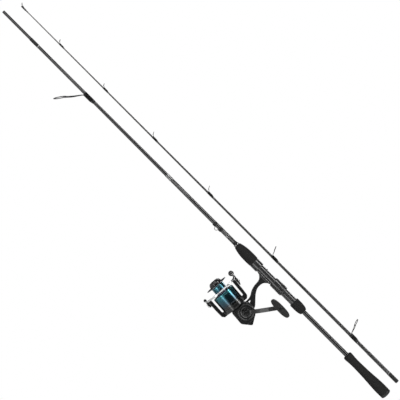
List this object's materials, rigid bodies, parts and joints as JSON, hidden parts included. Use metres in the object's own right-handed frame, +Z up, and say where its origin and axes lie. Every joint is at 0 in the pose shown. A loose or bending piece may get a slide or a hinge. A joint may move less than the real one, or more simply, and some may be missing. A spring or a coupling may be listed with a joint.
{
  "type": "fishing rod and reel",
  "caption": "Spinning rod in two sections with a fixed-spool reel on its seat; the reel cranks, the bail flips, the spool strokes and the tip section lies alongside.",
  "frame": {"origin": "rod axis above the reel stem, where the hand holds the rod", "axes": "+X along the rod towards its tip, +Z up with the reel hanging below, +Y to the side of the crank handle"},
  "size_m": [1.122, 0.1041, 0.2014],
  "materials": {
    "blank_gloss": "glossy clear-coated graphite",
    "grip_foam": "matte closed-cell foam",
    "seat_graphite": "satin moulded graphite",
    "body_paint": "satin dark grey paint on moulded graphite",
    "rotor_paint": "semi-gloss black paint",
    "arm_aluminium": "black anodised aluminium",
    "spool_anodised": "dark blue anodised, polished",
    "knob_rubber": "matte dark grey rubber",
    "bright_steel": "polished stainless steel",
    "guide_steel": "dark polished stainless wire",
    "ring_ceramic": "polished dark ceramic",
    "gear_brass": "machined brass"
  },
  "bodies": {
    "root": {"butt_blank": "blank_gloss", "butt_cap": "knob_rubber", "butt_grip": "grip_foam", "rear_grip": "grip_foam", "reel_seat": "seat_graphite", "fore_grip": "grip_foam", "winding_check": "bright_steel", "hook_keeper": "bright_steel", "stripper_frame": "guide_steel", "stripper_insert": "ring_ceramic", "reel_body": "body_paint", "side_cover": "body_paint", "tail_cover": "body_paint", "bearing_cap": "body_paint", "drive_bearing_left": "bright_steel", "drive_bearing_right": "bright_steel", "pinion_bearing": "bright_steel", "one_way_clutch": "bright_steel"},
    "hood": {"sliding_hood": "seat_graphite"},
    "nut": {"locking_nut": "seat_graphite"},
    "drive": {"drive_gear": "gear_brass", "handle_hub": "arm_aluminium", "handle_arm": "arm_aluminium", "handle_screw": "bright_steel"},
    "knob": {"handle_knob": "knob_rubber", "knob_cap": "bright_steel"},
    "oscillator": {"oscillation_gear": "gear_brass"},
    "shaft": {"main_shaft": "bright_steel", "oscillation_slider": "gear_brass"},
    "spool": {"spool": "spool_anodised", "drag_washers": "bright_steel"},
    "drag": {"drag_knob": "rotor_paint"},
    "rotor": {"rotor": "rotor_paint", "pinion_gear": "gear_brass", "rotor_nut": "bright_steel", "pivot_screw_upper": "bright_steel", "pivot_screw_lower": "bright_steel"},
    "bail": {"bail_arm": "rotor_paint", "bail_wire": "bright_steel", "bail_holder": "rotor_paint"},
    "roller": {"line_roller": "bright_steel"},
    "tip_section": {"tip_blank": "blank_gloss", "ferrule_socket": "blank_gloss", "guide_1_frame": "guide_steel", "guide_1_insert": "ring_ceramic", "guide_2_frame": "guide_steel", "guide_2_insert": "ring_ceramic", "guide_3_frame": "guide_steel", "guide_3_insert": "ring_ceramic", "guide_4_frame": "guide_steel", "guide_4_insert": "ring_ceramic", "guide_5_frame": "guide_steel", "guide_5_insert": "ring_ceramic", "guide_6_frame": "guide_steel", "guide_6_insert": "ring_ceramic", "tip_top_frame": "guide_steel", "tip_top_insert": "ring_ceramic"}
  },
  "joints": [
    {"name": "handle_turn", "type": "hinge", "parent": "root", "child": "drive", "pos_m": [-0.02195, 0, -0.08401], "axis": [0, 1, 0], "continuous": true},
    {"name": "knob_spin", "type": "hinge", "parent": "drive", "child": "knob", "pos_m": [-0.05969, 0.067, -0.02805], "axis": [0, 1, 0], "continuous": true},
    {"name": "oscillation_turn", "type": "hinge", "parent": "root", "child": "oscillator", "pos_m": [-0.03299, 0, -0.09371], "axis": [0, 1, 0], "continuous": true},
    {"name": "rotor_spin", "type": "hinge", "parent": "root", "child": "rotor", "pos_m": [0, 0, -0.0925], "axis": [0.9976, 0, 0.0698], "continuous": true},
    {"name": "bail_swing", "type": "hinge", "parent": "rotor", "child": "bail", "pos_m": [0.03791, 0, -0.08985], "axis": [0.0698, 0, -0.9976], "range_deg": [0, 115]},
    {"name": "roller_spin", "type": "hinge", "parent": "bail", "child": "roller", "pos_m": [0.05605, 0.004, -0.04969], "axis": [0, 1, 0], "continuous": true},
    {"name": "spool_stroke", "type": "slide", "parent": "root", "child": "shaft", "axis": [0.9976, 0, 0.0698], "range_m": [0, 0.012]},
    {"name": "spool_turn", "type": "hinge", "parent": "shaft", "child": "spool", "pos_m": [0.04988, 0, -0.08901], "axis": [0.9976, 0, 0.0698], "continuous": true},
    {"name": "drag_knob_turn", "type": "hinge", "parent": "shaft", "child": "drag", "pos_m": [0.06384, 0, -0.08804], "axis": [0.9976, 0, 0.0698], "range_deg": [-540, 540]},
    {"name": "hood_slide", "type": "slide", "parent": "root", "child": "hood", "axis": [-1, 0, 0], "range_m": [0, 0.012]},
    {"name": "nut_turn", "type": "hinge", "parent": "hood", "child": "nut", "pos_m": [-0.04, 0, 0], "axis": [1, 0, 0], "range_deg": [-1730, 0]},
    {"name": "tip_section_slide", "type": "slide", "parent": "root", "child": "tip_section", "axis": [1, 0, 0], "range_m": [0, 1.039]}
  ],
  "couplings": [
    {"joint": "rotor_spin", "follows": "handle_turn", "ratio": 5.1429},
    {"joint": "oscillation_turn", "follows": "handle_turn", "ratio": -1},
    {"joint": "nut_turn", "follows": "hood_slide", "rad_per_m": -2513.3}
  ]
}
